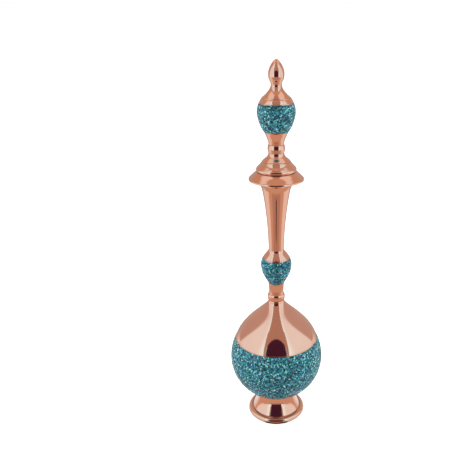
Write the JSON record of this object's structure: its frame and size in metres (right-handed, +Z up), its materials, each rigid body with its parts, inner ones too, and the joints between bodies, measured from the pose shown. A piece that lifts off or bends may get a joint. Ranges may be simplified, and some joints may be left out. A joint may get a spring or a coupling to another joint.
{
  "type": "wine carafe",
  "caption": "Tall footed wine carafe of spun copper with a slender trumpet neck, crushed turquoise inlay and a lift-off stopper with an inlaid urn and a drop finial.",
  "frame": {"origin": "on the carafe's axis, in the plane the foot stands on", "axes": "+Z up along the axis of the turned body, +X and +Y across it, -Y towards the picture's camera"},
  "size_m": [0.102, 0.102, 0.4],
  "materials": {
    "copper": "copper, highly polished, clear lacquered",
    "turquoise": "crushed turquoise in dark resin, ground flush and polished"
  },
  "bodies": {
    "carafe": {"foot": "copper", "belly_bowl": "copper", "belly_turquoise": "turquoise", "belly_strip_lower": "copper", "belly_strip_upper": "copper", "belly_shoulder": "copper", "neck_collar": "copper", "neck_bulb_cup": "copper", "neck_bulb_turquoise": "turquoise", "neck_bulb_strip_lower": "copper", "neck_bulb_strip_upper": "copper", "neck_bulb_cap": "copper", "neck_trumpet": "copper", "mouth_flange": "copper"},
    "stopper": {"stopper_plug": "copper", "stopper_dome": "copper", "stopper_knop": "copper", "stopper_urn_cup": "copper", "stopper_urn_turquoise": "turquoise", "stopper_urn_strip_lower": "copper", "stopper_urn_strip_upper": "copper", "stopper_urn_cap": "copper", "stopper_finial": "copper"}
  },
  "joints": [
    {"name": "stopper_lift", "type": "slide", "parent": "carafe", "child": "stopper", "axis": [0, 0, 1], "range_m": [0, 0.04]}
  ]
}
